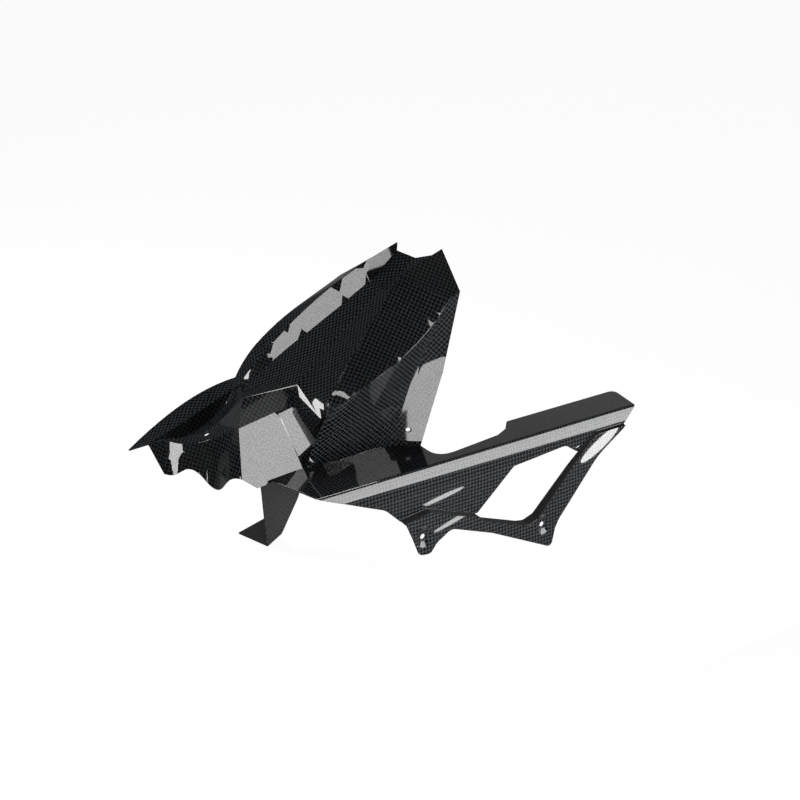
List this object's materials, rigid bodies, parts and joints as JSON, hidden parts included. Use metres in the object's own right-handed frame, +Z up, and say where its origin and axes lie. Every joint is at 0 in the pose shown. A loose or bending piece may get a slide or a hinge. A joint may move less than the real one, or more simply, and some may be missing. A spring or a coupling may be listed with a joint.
{
  "type": "motorcycle rear mudguard",
  "caption": "Faceted rear mudguard and chain guard in one carbon shell: finned body over the tyre, front apron, side stay and an open chain guard with bolting lugs.",
  "frame": {"origin": "centre of the front lug's bore, on the floor of its dish", "axes": "+X rearwards along the bike, +Y towards the bike's right side, +Z up"},
  "size_m": [0.5842, 0.2486, 0.3696],
  "materials": {
    "carbon_laminate": "plain-weave carbon laminate under a gloss clear coat"
  },
  "bodies": {
    "root": {"mudguard_shell": "carbon_laminate"}
  },
  "joints": []
}
